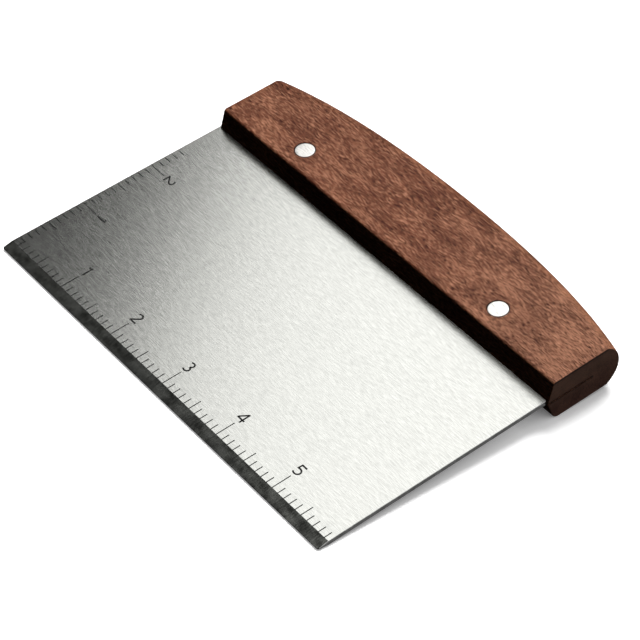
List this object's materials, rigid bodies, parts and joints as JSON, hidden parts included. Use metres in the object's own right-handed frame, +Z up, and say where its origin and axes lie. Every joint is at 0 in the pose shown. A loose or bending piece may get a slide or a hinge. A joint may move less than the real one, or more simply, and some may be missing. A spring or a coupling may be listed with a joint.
{
  "type": "bench scraper",
  "caption": "Flat steel scraper blade with a ground V edge and etched inch rules, riveted into a crowned hardwood handle.",
  "frame": {"origin": "on the bench, under the middle of the whole tool as it lies at rest on the lower corner of its edge and the lower front round of its handle", "axes": "+X along the blade's width, towards the end where the front rule's inches run out; +Y from the cutting edge towards the handle; +Z up from the bench"},
  "size_m": [0.1528, 0.1154, 0.0166],
  "materials": {
    "blade": "fine straight brushing along the blade's width, ground bevels left darker",
    "handle": "sanded and lightly oiled reddish brown hardwood with open pores, grain along the length",
    "rivet": "polished bright, ground flush with the wood"
  },
  "bodies": {
    "root": {"blade": "blade", "handle": "handle", "rivet_left_female": "rivet", "rivet_left_male": "rivet", "rivet_right_female": "rivet", "rivet_right_male": "rivet"}
  },
  "joints": []
}
